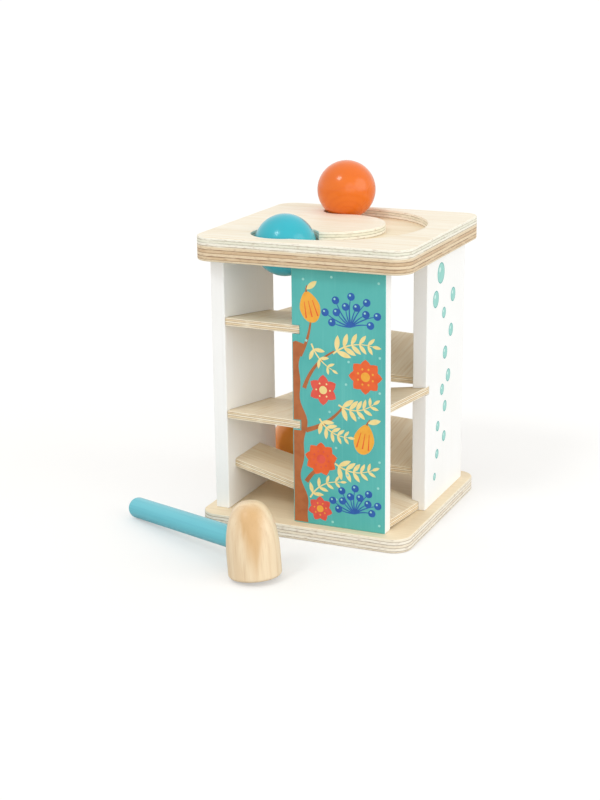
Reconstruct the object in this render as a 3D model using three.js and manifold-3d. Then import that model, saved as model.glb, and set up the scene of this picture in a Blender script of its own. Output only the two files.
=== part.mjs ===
// Ball pounding tower: a square base and a two-layer square top joined by four panels set in a
// pinwheel, with seven sloping planks and an exit ramp inside, three balls and a hammer.
// Millimetres, +Z up. The origin is the centre of the base's underside and -Y is the front.

import * as THREE from 'three';
import { mergeVertices } from 'three/addons/utils/BufferGeometryUtils.js';
import Module from 'manifold-3d';

const wasm = await Module();
wasm.setup();

// Driving dimensions of the tower
const boardSide = 168;
const boardCorner = 14;
const boardEasing = 1;
const baseThickness = 11;
const lowerThickness = 11;
const upperThickness = 7;
const towerHeight = 224;
const panelInset = 8;
const panelThickness = 11;
const panelEasing = 0.8;
const sidePanelOffset = 15;
const facePanelLength = 73;
const facePanelOffset = 18.5;

// Planks and ramp
const plankThickness = 6;
const plankLap = 6;
const plankHousing = 3;
const housingStop = 5;
const plankSlope = THREE.MathUtils.degToRad(8);
const firstPlankDrop = 43.5;
const spareBallHeadroom = 15.5;
const plankGap = 1;
const plankNames = [
  'left_plank_1', 'back_plank_1', 'right_plank_1', 'front_plank_1',
  'left_plank_2', 'back_plank_2', 'right_plank_2',
];
const rampHighEndHeight = 48;
const rampLowEndHeight = 17.5;
const rampEndInset = 5;
const rampSetBack = 9;

// Balls, the pounding hole and the groove that leads to it
const ballDiameter = 46;
const holeClearance = 2;
const holeX = -25;
const holeY = -47;
const ballSink = 9;
const grooveX = -9;
const grooveY = 4.5;
const grooveRadius = 56.5;
const grooveWidth = 32;
const grooveStart = THREE.MathUtils.degToRad(-105);
const grooveEnd = THREE.MathUtils.degToRad(103);
const waitingBallAngle = THREE.MathUtils.degToRad(101);
const ballPassage = 1;
const spareBallX = -54;

// Rubber ring that holds the ball in the hole until it is pounded
const ringThickness = 7;
const ringSeatWidth = 3;
const ringLipThickness = 5;
const ringLipGap = 0.3;

// Hammer
const headDiameter = 38;
const headHeight = 54;
const headWaistShare = 0.32;
const headCrownShare = 0.7;
const headBaseRounding = 2.5;
const handleDiameter = 16;
const handleReach = 159;
const handleHeight = 23;
const handleSocketDepth = 28;
const handleEndRounding = 5;
const hammerX = 1;
const hammerY = -162;
const hammerHeading = THREE.MathUtils.degToRad(151);

// Fasteners
const screwShankDiameter = 3.5;
const screwHeadDiameter = 7.5;
const screwHeadDepth = 3;
const screwLength = 32;
const screwPointLength = 5;
const screwSlotWidth = 1.1;
const screwSlotLength = 4.6;
const screwSlotDepth = 1.6;
const dowelDiameter = 6;
const dowelLength = 22;
const dowelInBoard = 8;
const dowelChamfer = 0.7;
const fastenerEndMargin = 16;

// Clearances, roundness and one overrun for every cut
const fit = 0.3;
const sprungFit = 0.15;
const overrun = 20;
const ballSides = 28;
const ballBands = 18;
const roundSides = 24;
const fastenerSides = 12;
const arcSteps = 10;
const endSteps = 4;
const grooveSteps = 44;

// Derived places
const half = boardSide / 2;
const outerPlane = half - panelInset;
const innerPlane = outerPlane - panelThickness;
const panelBottom = baseThickness;
const panelTop = towerHeight - upperThickness - lowerThickness;
const ballRadius = ballDiameter / 2;
const grooveOuter = grooveRadius + grooveWidth / 2;
const grooveInner = grooveRadius - grooveWidth / 2;
const upperBottom = towerHeight - upperThickness;
const firstPlankHeight = panelTop - firstPlankDrop;
// The planks step down evenly, so that a ball on the base fits under the lower back one.
const lowBackPlankHeight = baseThickness + ballDiameter + spareBallHeadroom;
const plankStep = (firstPlankHeight - lowBackPlankHeight) / plankNames.indexOf('back_plank_2');
const holeDiameter = ballDiameter + 2 * holeClearance;
const ringOuterDiameter = holeDiameter + 2 * ringSeatWidth;
const railSink = ballRadius - Math.sqrt(ballRadius ** 2 - (grooveWidth / 2) ** 2);

// Each side is drawn as the back one, with its panel across +Y and its planks running down
// towards +X, then turned into place. Going round clockwise, one side follows the other.
// The left and right walls end where the opening behind them just lets a ball pass.
const wallOpening = ballDiameter + ballPassage;
const sidePanelLength = innerPlane - wallOpening - (sidePanelOffset - half);
const faceSide = { start: facePanelOffset - half, length: facePanelLength };
const flankSide = { start: sidePanelOffset - half, length: sidePanelLength };
const sides = [
  { name: 'left', panel: 'left_wall', turn: Math.PI / 2, ...flankSide },
  { name: 'back', panel: 'back_panel', turn: 0, ...faceSide },
  { name: 'right', panel: 'right_wall', turn: -Math.PI / 2, ...flankSide },
  { name: 'front', panel: 'front_panel', turn: Math.PI, ...faceSide },
];
const panelEnd = (side) => side.start + side.length;
const sideBefore = (index) => sides[(index + sides.length - 1) % sides.length];

// Finishes
const finish = (color, roughness) => ({ color, roughness, metalness: 0 });
const plyFinish = finish(0xf0e2c4, 0.6);
const plankFinish = finish(0xead9b8, 0.6);
const whiteFinish = finish(0xf2f1ec, 0.5);
const turquoiseFinish = finish(0x62bfbb, 0.45);
const turquoiseBallFinish = finish(0x3fb3cc, 0.3);
const orangeFinish = finish(0xed7234, 0.3);
const amberFinish = finish(0xf2a23a, 0.3);
const handleFinish = finish(0x5fc0d6, 0.35);
const headFinish = finish(0xe4c69b, 0.5);
const rubberFinish = finish(0x2f3133, 0.85);
const dowelFinish = finish(0xdcc396, 0.7);
const steelFinish = { color: 0xb9bcc0, roughness: 0.35, metalness: 0.9 };

// A closed solid from a three.js geometry, without its seams and needle triangles
function solid(geometry) {
  const bare = geometry.clone();
  bare.deleteAttribute('normal');
  bare.deleteAttribute('uv');
  const merged = mergeVertices(bare);
  const index = merged.index.array;
  const corners = [];
  for (let i = 0; i < index.length; i += 3) {
    const [a, b, c] = [index[i], index[i + 1], index[i + 2]];
    if (a !== b && b !== c && c !== a) corners.push(a, b, c);
  }
  const vertProperties = new Float32Array(merged.attributes.position.array);
  const triVerts = new Uint32Array(corners);
  return new wasm.Manifold(new wasm.Mesh({ numProp: 3, vertProperties, triVerts }));
}

function geometryOf(body) {
  const { vertProperties, triVerts } = body.getMesh();
  const geometry = new THREE.BufferGeometry();
  geometry.setAttribute('position', new THREE.BufferAttribute(new Float32Array(vertProperties), 3));
  geometry.setIndex(new THREE.BufferAttribute(new Uint32Array(triVerts), 1));
  return geometry;
}

function piece(name, body, look) {
  const mesh = new THREE.Mesh(geometryOf(body), new THREE.MeshStandardMaterial(look));
  mesh.name = name;
  return mesh;
}

const moved = (geometry, x, y, z) => geometry.translate(x, y, z);

function boxFrom(low, high) {
  const size = high.map((value, axis) => value - low[axis]);
  const centre = high.map((value, axis) => (value + low[axis]) / 2);
  return moved(new THREE.BoxGeometry(...size), ...centre);
}

// An upright round bar from z = bottom to z = top
function bar(x, y, bottom, top, diameter, count) {
  const geometry = new THREE.CylinderGeometry(diameter / 2, diameter / 2, top - bottom, count);
  geometry.rotateX(Math.PI / 2);
  return moved(geometry, x, y, (top + bottom) / 2);
}

// A lathe profile of [radius, height] points turned about +Z
function turned(points, count) {
  const profile = points.map(([radius, height]) => new THREE.Vector2(radius, height));
  return new THREE.LatheGeometry(profile, count).rotateX(Math.PI / 2);
}

// A flat plate with eased edges, between two heights
function easedPlate(shape, bottom, top, easing) {
  const geometry = new THREE.ExtrudeGeometry(shape, {
    depth: top - bottom - 2 * easing,
    bevelThickness: easing,
    bevelSize: easing,
    bevelOffset: -easing,
    bevelSegments: 1,
    curveSegments: arcSteps,
  });
  return moved(geometry, 0, 0, bottom + easing);
}

function roundedSquare(side, corner) {
  const edge = side / 2;
  const shape = new THREE.Shape();
  shape.moveTo(corner - edge, -edge);
  shape.absarc(edge - corner, corner - edge, corner, -Math.PI / 2, 0);
  shape.absarc(edge - corner, edge - corner, corner, 0, Math.PI / 2);
  shape.absarc(corner - edge, edge - corner, corner, Math.PI / 2, Math.PI);
  shape.absarc(corner - edge, corner - edge, corner, Math.PI, 1.5 * Math.PI);
  shape.closePath();
  return shape;
}

// A board whose top or bottom edge stays sharp where it is glued to the next one
function board(bottom, top, easedBottom, easedTop) {
  const low = easedBottom ? bottom : bottom - 2 * boardEasing;
  const high = easedTop ? top : top + 2 * boardEasing;
  const plate = easedPlate(roundedSquare(boardSide, boardCorner), low, high, boardEasing);
  const kept = boxFrom([-boardSide, -boardSide, bottom], [boardSide, boardSide, top]);
  return solid(plate).intersect(solid(kept));
}

// The places of the two fasteners along each panel, in the tower's frame
function fastenerPlaces(side) {
  const along = [side.start + fastenerEndMargin, panelEnd(side) - fastenerEndMargin];
  const across = outerPlane - panelThickness / 2;
  const up = new THREE.Vector3(0, 0, 1);
  return along.map((x) => new THREE.Vector3(x, across, 0).applyAxisAngle(up, side.turn));
}

const allFastenerPlaces = sides.flatMap(fastenerPlaces);

// Base board with a countersunk hole from below for each screw
function baseBoard() {
  const clearance = screwShankDiameter + 2 * sprungFit;
  const mouth = screwHeadDiameter + 2 * sprungFit;
  let body = board(0, baseThickness, true, true);
  for (const { x, y } of allFastenerPlaces) {
    const sink = turned([
      [0, -overrun],
      [mouth / 2, -overrun],
      [mouth / 2, 0],
      [clearance / 2, screwHeadDepth],
      [clearance / 2, baseThickness + overrun],
      [0, baseThickness + overrun],
    ], fastenerSides);
    body = body.subtract(solid(moved(sink, x, y, 0)));
  }
  return body;
}

// Countersunk cross-head screw, head down at z = 0
function baseScrew(x, y) {
  const shank = screwShankDiameter / 2;
  const profile = turned([
    [0, 0],
    [screwHeadDiameter / 2, 0],
    [shank, screwHeadDepth],
    [shank, screwLength - screwPointLength],
    [0, screwLength],
  ], fastenerSides);
  const reach = screwSlotLength / 2;
  const web = screwSlotWidth / 2;
  const slots = [
    boxFrom([-reach, -web, -overrun], [reach, web, screwSlotDepth]),
    boxFrom([-web, -reach, -overrun], [web, reach, screwSlotDepth]),
  ];
  const body = slots.reduce((rest, slot) => rest.subtract(solid(slot)), solid(profile));
  return body.translate([x, y, 0]);
}

function topDowel(x, y) {
  const radius = dowelDiameter / 2;
  const bottom = panelTop + dowelInBoard - dowelLength;
  const top = panelTop + dowelInBoard;
  return solid(moved(turned([
    [0, bottom],
    [radius - dowelChamfer, bottom],
    [radius, bottom + dowelChamfer],
    [radius, top - dowelChamfer],
    [radius - dowelChamfer, top],
    [0, top],
  ], fastenerSides), x, y, 0));
}

// Lower layer of the top: the hole goes through, with a rebate below for the rubber ring
function lowerTopBoard() {
  const bottom = panelTop;
  let body = board(bottom, upperBottom, true, false);
  const hole = bar(holeX, holeY, bottom - overrun, upperBottom + overrun, holeDiameter, roundSides);
  const rebateTop = bottom + ringThickness + fit;
  const rebateDiameter = ringOuterDiameter + 2 * fit;
  const rebate = bar(holeX, holeY, bottom - overrun, rebateTop, rebateDiameter, roundSides);
  body = body.subtract(solid(hole)).subtract(solid(rebate));
  for (const { x, y } of allFastenerPlaces) {
    const depth = bottom + dowelInBoard + fit;
    const socket = bar(x, y, bottom - overrun, depth, dowelDiameter + 2 * sprungFit, fastenerSides);
    body = body.subtract(solid(socket));
  }
  return body;
}

// The groove's outline: from the hole round the right to a rounded end at the back
function grooveShape() {
  const shape = new THREE.Shape();
  const endX = grooveX + grooveRadius * Math.cos(grooveEnd);
  const endY = grooveY + grooveRadius * Math.sin(grooveEnd);
  shape.absarc(grooveX, grooveY, grooveOuter, grooveStart, grooveEnd);
  shape.absarc(endX, endY, grooveWidth / 2, grooveEnd, grooveEnd + Math.PI);
  shape.absarc(grooveX, grooveY, grooveInner, grooveEnd, grooveStart, true);
  shape.closePath();
  return shape;
}

function upperTopBoard() {
  const groove = new THREE.ExtrudeGeometry(grooveShape(), {
    depth: upperThickness + 2 * overrun,
    bevelEnabled: false,
    curveSegments: grooveSteps,
  });
  moved(groove, 0, 0, upperBottom - overrun);
  const top = towerHeight + overrun;
  const hole = bar(holeX, holeY, upperBottom - overrun, top, holeDiameter, roundSides);
  const plain = board(upperBottom, towerHeight, false, true);
  return plain.subtract(solid(groove)).subtract(solid(hole));
}

// Rubber ring under the hole: a seat in the rebate and a thin lip that grips the ball
function holeRing() {
  const bore = (ballDiameter + 2 * ringLipGap) / 2;
  const flare = holeDiameter / 2;
  const outer = ringOuterDiameter / 2;
  const bottom = panelTop;
  const profile = turned([
    [outer, bottom],
    [outer, bottom + ringThickness],
    [flare, bottom + ringThickness],
    [bore, bottom + ringLipThickness],
    [bore, bottom],
    [outer, bottom],
  ], roundSides);
  return solid(moved(profile, holeX, holeY, 0));
}

// A sloping board: its outline seen from above, between two sloping faces. The upper face is at
// z0 where x is x0, and grow thickens it into the cutter for its housings.
function slopedBoard(outline, x0, z0, slope, grow) {
  const faceHeight = (x) => z0 + (x - x0) * slope + grow;
  const depth = plankThickness * Math.hypot(1, slope) + 2 * grow;
  const section = new THREE.Shape([
    new THREE.Vector2(-boardSide, faceHeight(-boardSide) - depth),
    new THREE.Vector2(boardSide, faceHeight(boardSide) - depth),
    new THREE.Vector2(boardSide, faceHeight(boardSide)),
    new THREE.Vector2(-boardSide, faceHeight(-boardSide)),
  ]);
  const slab = new THREE.ExtrudeGeometry(section, { depth: 2 * boardSide, bevelEnabled: false });
  slab.rotateX(Math.PI / 2);
  const plan = new THREE.Shape(outline.map(([x, y]) => new THREE.Vector2(x, y)));
  const upright = new THREE.ExtrudeGeometry(plan, { depth: 2 * towerHeight, bevelEnabled: false });
  return solid(moved(slab, 0, boardSide, 0)).intersect(solid(moved(upright, 0, 0, -towerHeight)));
}

// One plank in its side's frame. Its high end runs slightly askew, from the outer face of the
// panel it laps to the near end of its own panel, and its housing stops short of that end. reach
// carries the cutter for its notches out past that end.
function plankBoard(step, grow, reach) {
  const index = step % sides.length;
  const side = sides[index];
  const z0 = firstPlankHeight - step * plankStep;
  const near = panelEnd(sideBefore(index)) - plankLap - grow;
  const high = -outerPlane;
  const low = panelEnd(side) - plankLap - plankGap + grow;
  const far = innerPlane + plankHousing + grow;
  const shoulder = innerPlane - fit + grow;
  const stop = side.start + housingStop - grow;
  const outline = [
    [high - reach, near], [low, near], [low, far],
    [stop, far], [stop, shoulder], [side.start - reach, shoulder],
  ];
  return slopedBoard(outline, high, z0, -Math.tan(plankSlope), grow);
}

// The exit ramp in the front side's frame: it runs the other way, down to the right side. It is
// let into the left wall and widens towards the opening, where it meets the front panel.
function rampBoard(grow) {
  const side = sides[sides.length - 1];
  const low = rampEndInset - outerPlane;
  const high = innerPlane + plankHousing;
  const near = panelEnd(sideBefore(sides.length - 1)) - plankLap - grow;
  const outline = [
    [low - grow, near], [high + grow, near],
    [high + grow, innerPlane - rampSetBack + grow], [side.start - grow, innerPlane - fit + grow],
  ];
  const slope = (rampHighEndHeight - rampLowEndHeight) / (high - low);
  return slopedBoard(outline, low, rampLowEndHeight, slope, grow);
}

const turnedInto = (body, side) => body.rotate([0, 0, THREE.MathUtils.radToDeg(side.turn)]);
const frontSide = sides[sides.length - 1];
const plankCutters = plankNames.map((_, step) =>
  turnedInto(plankBoard(step, fit, overrun), sides[step % sides.length]));
const boardCutters = [...plankCutters, turnedInto(rampBoard(fit), frontSide)];

// An upright panel with housings for the planks and holes for its fasteners
function uprightPanel(side) {
  const shape = new THREE.Shape();
  shape.moveTo(side.start, innerPlane);
  shape.lineTo(panelEnd(side), innerPlane);
  shape.lineTo(panelEnd(side), outerPlane);
  shape.lineTo(side.start, outerPlane);
  shape.closePath();
  const plain = solid(easedPlate(shape, panelBottom, panelTop, panelEasing));
  let body = turnedInto(plain, side);
  for (const cutter of boardCutters) body = body.subtract(cutter);
  for (const { x, y } of fastenerPlaces(side)) {
    const screwTop = screwLength + fit;
    const screwHole = screwShankDiameter + 2 * sprungFit;
    const dowelBottom = panelTop + dowelInBoard - dowelLength - fit;
    const dowelHole = dowelDiameter + 2 * sprungFit;
    const pilot = bar(x, y, panelBottom - overrun, screwTop, screwHole, fastenerSides);
    const socket = bar(x, y, dowelBottom, panelTop + overrun, dowelHole, fastenerSides);
    body = body.subtract(solid(pilot)).subtract(solid(socket));
  }
  return body;
}

const ballSolid = () =>
  solid(new THREE.SphereGeometry(ballRadius, ballSides, ballBands).rotateX(Math.PI / 2));

// Egg-shaped head standing on its flat end, with a blind socket for the handle
function hammerHead() {
  const radius = headDiameter / 2;
  const waist = headHeight * headWaistShare;
  const inset = headBaseRounding * (1 - Math.SQRT1_2);
  const points = [[0, 0], [radius - headBaseRounding, 0], [radius - inset, inset]];
  points.push([radius, headBaseRounding], [radius, waist]);
  for (let i = 1; i < arcSteps; i += 1) {
    const angle = (i / arcSteps) * (Math.PI / 2);
    const narrowing = Math.cos(angle) ** headCrownShare;
    points.push([radius * narrowing, waist + (headHeight - waist) * Math.sin(angle)]);
  }
  points.push([0, headHeight]);
  return solid(turned(points, roundSides)).subtract(solid(handleBar(handleSocketDepth, fit)));
}

// The handle along +X from inside the head to its rounded end
function handleBar(socketDepth, grow) {
  const radius = handleDiameter / 2 + grow;
  const start = headDiameter / 2 - socketDepth - grow;
  const round = handleEndRounding;
  const profile = [[0, start], [radius, start], [radius, handleReach - round]];
  for (let i = 1; i < endSteps; i += 1) {
    const angle = (i / endSteps) * (Math.PI / 2);
    const inset = round * (1 - Math.cos(angle));
    profile.push([radius - inset, handleReach - round + round * Math.sin(angle)]);
  }
  profile.push([radius - round, handleReach], [0, handleReach]);
  const geometry = turned(profile, roundSides);
  geometry.rotateY(Math.PI / 2);
  return moved(geometry, 0, 0, handleHeight);
}

// The hammer leans on its handle's end and on the rounded edge of the head's flat end, so it is
// tilted and lifted until the ground is the common tangent of both roundings.
function hammer() {
  const edgeX = headDiameter / 2 - headBaseRounding;
  const endX = handleReach - handleEndRounding;
  const endZ = handleHeight - handleDiameter / 2 + handleEndRounding;
  const [run, rise] = [endX - edgeX, endZ - headBaseRounding];
  const narrowing = (handleEndRounding - headBaseRounding) / Math.hypot(run, rise);
  const tilt = Math.atan2(rise, run) - Math.asin(narrowing);
  const lift = headBaseRounding * (1 - Math.cos(tilt)) + edgeX * Math.sin(tilt);
  const group = new THREE.Group();
  group.add(piece('hammer_head', hammerHead(), headFinish));
  group.add(piece('hammer_handle', solid(handleBar(handleSocketDepth - fit, 0)), handleFinish));
  const leaning = new THREE.Group();
  leaning.rotation.y = tilt;
  leaning.add(group);
  const placed = new THREE.Group();
  placed.position.set(hammerX, hammerY, lift);
  placed.rotation.z = hammerHeading;
  placed.add(leaning);
  return placed;
}

const tower = new THREE.Group();
tower.add(piece('base_board', baseBoard(), plyFinish));
tower.add(piece('lower_top_board', lowerTopBoard(), plyFinish));
tower.add(piece('upper_top_board', upperTopBoard(), plyFinish));
tower.add(piece('hole_ring', holeRing(), rubberFinish));
for (const side of sides) {
  const look = side.panel === 'front_panel' ? turquoiseFinish : whiteFinish;
  tower.add(piece(side.panel, uprightPanel(side), look));
}
plankNames.forEach((name, step) => {
  const mesh = piece(name, plankBoard(step, 0, 0), plankFinish);
  mesh.rotation.z = sides[step % sides.length].turn;
  tower.add(mesh);
});
const ramp = piece('exit_ramp', rampBoard(0), plankFinish);
ramp.rotation.z = frontSide.turn;
tower.add(ramp);
allFastenerPlaces.forEach(({ x, y }, index) => {
  tower.add(piece(`base_screw_${index + 1}`, baseScrew(x, y), steelFinish));
  tower.add(piece(`top_dowel_${index + 1}`, topDowel(x, y), dowelFinish));
});

function ball(name, look, x, y, z) {
  const mesh = piece(name, ballSolid(), look);
  mesh.position.set(x, y, z);
  return mesh;
}

const waitingX = grooveX + grooveRadius * Math.cos(waitingBallAngle);
const waitingY = grooveY + grooveRadius * Math.sin(waitingBallAngle);
const waitingZ = towerHeight + ballRadius - railSink + fit;
const heldZ = towerHeight - ballSink;
const spareY = innerPlane - wallOpening / 2;
const spareZ = baseThickness + ballRadius + fit;

const model = new THREE.Group();
model.add(tower);
model.add(ball('turquoise_ball', turquoiseBallFinish, holeX, holeY, heldZ));
model.add(ball('orange_ball', orangeFinish, waitingX, waitingY, waitingZ));
model.add(ball('amber_ball', amberFinish, spareBallX, spareY, spareZ));
model.add(hammer());

export default model;
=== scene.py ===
"""Looks of the ball pounding tower: plywood boards, white panels, printed front, balls, hammer."""

import math

import bmesh
import bpy
from mathutils import Matrix, Vector
from mathutils.geometry import tessellate_polygon


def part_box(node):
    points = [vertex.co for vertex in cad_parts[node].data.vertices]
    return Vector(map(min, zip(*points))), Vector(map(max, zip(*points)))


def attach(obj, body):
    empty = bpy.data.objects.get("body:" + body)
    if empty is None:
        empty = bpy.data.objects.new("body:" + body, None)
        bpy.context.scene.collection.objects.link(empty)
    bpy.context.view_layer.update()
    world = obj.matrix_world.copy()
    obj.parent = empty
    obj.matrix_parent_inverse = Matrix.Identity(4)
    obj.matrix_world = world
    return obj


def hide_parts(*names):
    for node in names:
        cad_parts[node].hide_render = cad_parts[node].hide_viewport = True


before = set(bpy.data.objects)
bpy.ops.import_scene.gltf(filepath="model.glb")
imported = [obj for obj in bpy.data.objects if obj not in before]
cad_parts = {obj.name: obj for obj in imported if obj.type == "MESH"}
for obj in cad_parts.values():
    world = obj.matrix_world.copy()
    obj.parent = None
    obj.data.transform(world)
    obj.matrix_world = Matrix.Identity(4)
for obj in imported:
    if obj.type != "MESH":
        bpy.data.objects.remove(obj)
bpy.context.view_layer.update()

# Sizes of the tower in millimetres, in the frame's axes
board_side = 168
board_corner = 14
board_easing = 1
base_thickness = 11
panel_top = 206
upper_bottom = 217
tower_height = 224
outer_plane = 76
inner_plane = 65
panel_easing = 0.8
flank_start, flank_end = -69, 18
face_start, face_end = -65.5, 7.5
fit = 0.3
overrun = 20

# Planks and ramp
plank_thickness = 6
plank_slope = math.radians(8)
first_plank_height = 162.5
last_plank_height = 54.5
plank_lap = 6
plank_gap = 1
plank_housing = 3
housing_stop = 5
plank_easing = 0.45
ramp_high, ramp_low = 48, 17.5
ramp_end_inset = 5
ramp_set_back = 9

# Hole, ring and groove
hole_x, hole_y = -25, -47
hole_radius = 25
ring_radius = 28
ring_thickness = 7
ring_lip = 5
ring_bore = 23.3
groove_x, groove_y = -9, 4.5
groove_inner, groove_outer = 40.5, 72.5
groove_end = math.radians(103)
rim_easing = 0.5

# Screws and dowels
screw_clearance = 1.9
screw_mouth = 3.9
screw_head_depth = 3
dowel_socket = 3.15
dowel_socket_top = panel_top + 8.3
fastener_margin = 16

# Balls and hammer
ball_radius = 23
head_radius = 19
head_height = 54
head_waist = 0.32 * head_height
head_crown = 0.7
head_rounding = 2.5
handle_radius = 8
handle_reach = 159
handle_height = 23
handle_socket = 28
handle_rounding = 5
hammer_x, hammer_y = 1, -162
hammer_heading = math.radians(151)

# Print: how high the first film of ink lies, and how thick each film is
ink_lift = 0.02
ink_film = 0.0015

# Steps that make the round shapes
turned_steps = 72
handle_steps = 48
bore_steps = 64
drill_steps = 24
corner_steps = 12
easing_steps = 3

# Each side's turn from the back, and the stretch along it that its panel takes
sides = {
    "left": (math.pi / 2, flank_start, flank_end),
    "back": (0.0, face_start, face_end),
    "right": (-math.pi / 2, flank_start, flank_end),
    "front": (math.pi, face_start, face_end),
}
side_order = list(sides)
plank_names = [
    "left_plank_1", "back_plank_1", "right_plank_1", "front_plank_1",
    "left_plank_2", "back_plank_2", "right_plank_2",
]
plank_drop = (first_plank_height - last_plank_height) / (len(plank_names) - 1)
plank_fall = -math.tan(plank_slope)
ramp_turn = sides["front"][0]
ramp_foot, ramp_head = ramp_end_inset - outer_plane, inner_plane + plank_housing
ramp_slope = (ramp_high - ramp_low) / (ramp_head - ramp_foot)


# Finishes


def paint(red, green, blue):
    """A colour read off as 0 to 255, turned into light."""
    def light(value):
        value /= 255
        return value / 12.92 if value <= 0.04045 else ((value + 0.055) / 1.055) ** 2.4

    return (light(red), light(green), light(blue), 1.0)


class Measure:
    """A varying number on a surface that takes part in plain arithmetic."""

    def __init__(self, finish, socket):
        self.finish = finish
        self.socket = socket

    def _with(self, operation, *operands):
        sockets = dict(enumerate(operands))
        return self.finish.node("ShaderNodeMath", {"operation": operation}, sockets)

    def __add__(self, other):
        return self._with("ADD", self, other)

    __radd__ = __add__

    def __sub__(self, other):
        return self._with("SUBTRACT", self, other)

    def __rsub__(self, other):
        return self._with("SUBTRACT", other, self)

    def __mul__(self, other):
        return self._with("MULTIPLY", self, other)

    __rmul__ = __mul__

    def __truediv__(self, other):
        return self._with("DIVIDE", self, other)

    def __rtruediv__(self, other):
        return self._with("DIVIDE", other, self)

    def __pow__(self, other):
        return self._with("POWER", self, other)

    def __rpow__(self, other):
        return self._with("POWER", other, self)

    def __abs__(self):
        return self._with("ABSOLUTE", self)

    def sine(self):
        return self._with("SINE", self)

    def root(self):
        return self._with("SQRT", self)

    def fade(self, low, high):
        """0 below low, 1 above high, and smooth between them."""
        settings = {"interpolation_type": "SMOOTHSTEP"}
        sockets = {0: self, 1: low, 2: high}
        return self.finish.node("ShaderNodeMapRange", settings, sockets)


class Finish:
    """One material and the steps that make its surface."""

    def __init__(self, name, roughness=0.5, **surface):
        self.material = bpy.data.materials.new(name)
        self.material.use_nodes = True
        self.tree = self.material.node_tree
        self.surface = self.tree.nodes["Principled BSDF"]
        self.set("Roughness", roughness)
        for socket, value in surface.items():
            self.set(socket.replace("_", " ").title().replace("Ior", "IOR"), value)

    def node(self, kind, settings=None, sockets=None, output=0):
        made = self.tree.nodes.new(kind)
        for key, value in (settings or {}).items():
            if key == "stops":
                self._stops(made.color_ramp, value)
            else:
                setattr(made, key, value)
        for key, value in (sockets or {}).items():
            self._feed(made.inputs[key], value)
        return Measure(self, made.outputs[output])

    def _stops(self, ramp, stops):
        while len(ramp.elements) < len(stops):
            ramp.elements.new(1.0)
        for element, (position, colour) in zip(ramp.elements, stops):
            element.position = position
            element.color = colour

    def _feed(self, socket, value):
        if isinstance(value, Measure):
            self.tree.links.new(value.socket, socket)
        else:
            socket.default_value = value

    def set(self, socket, value):
        self._feed(self.surface.inputs[socket], value)

    def place(self, stance=None):
        """The point on the piece in metres. A piece that stands askew gives its stance, and the
        point is then taken along the piece's own axes."""
        point = self.node("ShaderNodeTexCoord", output="Object")
        if stance is None:
            return point
        sockets = {0: point, 1: stance.to_translation(), 2: stance.to_euler()}
        return self.node("ShaderNodeMapping", {"vector_type": "TEXTURE"}, sockets)

    def split(self, vector):
        """A vector's x, y and z."""
        parts = self.node("ShaderNodeSeparateXYZ", sockets={0: vector})
        outputs = parts.socket.node.outputs
        return [Measure(self, outputs[axis]) for axis in range(3)]

    def facing(self):
        """The surface's direction on the piece, as x, y and z."""
        return self.split(self.node("ShaderNodeTexCoord", output="Normal"))

    def stretched(self, point, *scale):
        """The point scaled along each axis, so that a texture runs long where the scale is low."""
        settings = {"operation": "MULTIPLY"}
        return self.node("ShaderNodeVectorMath", settings, {0: point, 1: scale})

    def noise(self, point, scale=1.0, detail=2.0, roughness=0.5, distortion=0.0):
        sockets = {
            "Vector": point, "Scale": scale, "Detail": detail,
            "Roughness": roughness, "Distortion": distortion,
        }
        return self.node("ShaderNodeTexNoise", None, sockets)

    def mix(self, share, first, second):
        """The first colour where the share is 0, the second where it is 1."""
        sockets = {0: share, 6: first, 7: second}
        return self.node("ShaderNodeMix", {"data_type": "RGBA"}, sockets, output=2)

    def ramp(self, position, stops):
        return self.node("ShaderNodeValToRGB", {"stops": stops}, {0: position})

    def done(self, colour, roughness, relief, strength, depth=0.0003):
        """The material with its colour, its roughness and the relief that stands on it."""
        sockets = {"Strength": strength, "Distance": depth, "Height": relief}
        self.set("Base Color", colour)
        self.set("Roughness", roughness)
        self.set("Normal", self.node("ShaderNodeBump", None, sockets))
        return self.material


def plies(tones, glue_lines):
    """Stops from the lower face up: a tone for each ply, and (height, width, colour) between."""
    stops, level = [], 0.0
    for tone, (height, width, colour) in zip(tones, glue_lines):
        stops += [(level, tone), (height - width, tone), (height, colour)]
        level = height + width
    stops += [(level, tones[-1]), (1.0, tones[-1])]
    return [(height, paint(*colour)) for height, colour in stops]


def veneer(finish, point, pale, grain, contrast):
    """Birch face grain that runs along X: fine pores on a slow figure."""
    pores = finish.noise(finish.stretched(point, 14.0, 520.0, 520.0), detail=4.0, roughness=0.6)
    figure = finish.noise(finish.stretched(point, 4.0, 46.0, 46.0), detail=3.0, distortion=1.2)
    rings = abs((figure * 34.0).sine())
    share = (pores.fade(0.42, 0.72) * 0.5 + rings * 0.22 + figure.fade(0.45, 0.7) * 0.3) * contrast
    return finish.mix(share, pale, grain), pores


def sawn_edge(finish, point, level, lines, fibre):
    """Ply lines on a sawn edge: a little wavy, ragged, and faint in places."""
    waver = finish.noise(finish.stretched(point, 30.0, 30.0, 60.0), detail=2.0)
    ragged = finish.noise(finish.stretched(point, 320.0, 320.0, 500.0), detail=3.0)
    edge = finish.ramp(level + (waver - 0.5) * 0.03 + (ragged - 0.5) * 0.035, lines)
    faint = finish.noise(finish.stretched(point, 75.0, 75.0, 420.0), detail=2.0)
    edge = finish.mix(faint.fade(0.48, 0.7) * 0.55, edge, lines[-1][1])
    fibres = finish.noise(finish.stretched(point, 260.0, 260.0, 1100.0), detail=3.0)
    return finish.mix(fibres.fade(0.5, 0.72) * 0.34, edge, fibre)


def face_or_edge(finish, edge, face):
    """The face where the surface lies flat, and the sawn edge where it stands up."""
    return finish.mix(abs(finish.facing()[2]).fade(0.55, 0.8), edge, face)


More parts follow.
